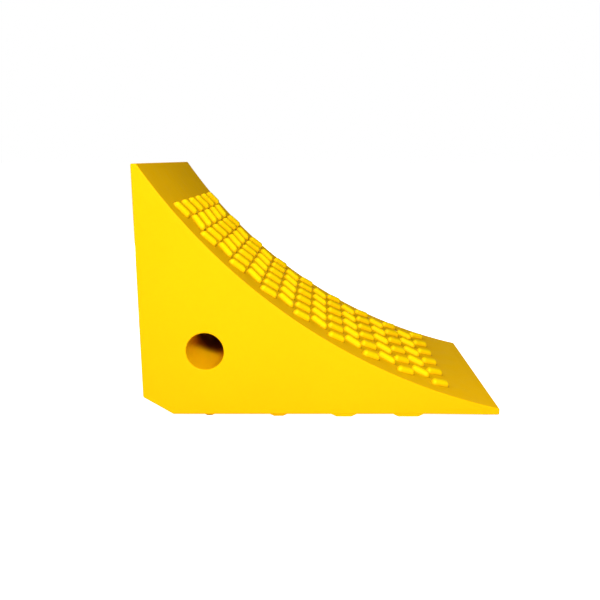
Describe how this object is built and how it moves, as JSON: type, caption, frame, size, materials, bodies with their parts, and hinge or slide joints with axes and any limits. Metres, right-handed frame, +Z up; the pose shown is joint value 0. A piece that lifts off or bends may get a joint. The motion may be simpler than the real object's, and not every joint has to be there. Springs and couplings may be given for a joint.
{
  "type": "wheel chock",
  "caption": "Solid wedge wheel chock for heavy vehicles, with a hollow-curved lugged tyre face, a round hole through its sides and cross cleats under the base.",
  "frame": {"origin": "middle of the footprint, on the ground under the cleats", "axes": "+X from the rear face toward the toe, +Y across from one side face to the other, +Z up"},
  "size_m": [0.48, 0.32, 0.3364],
  "materials": {
    "block_urethane": "smooth satin moulded polyurethane, bright yellow",
    "tread_urethane": "satin moulded polyurethane, bright yellow",
    "cleat_urethane": "satin moulded polyurethane, bright yellow"
  },
  "bodies": {
    "root": {"chock_body": "block_urethane", "tread_pad": "tread_urethane", "base_cleat_1": "cleat_urethane", "base_cleat_2": "cleat_urethane", "base_cleat_3": "cleat_urethane", "base_cleat_4": "cleat_urethane"}
  },
  "joints": []
}
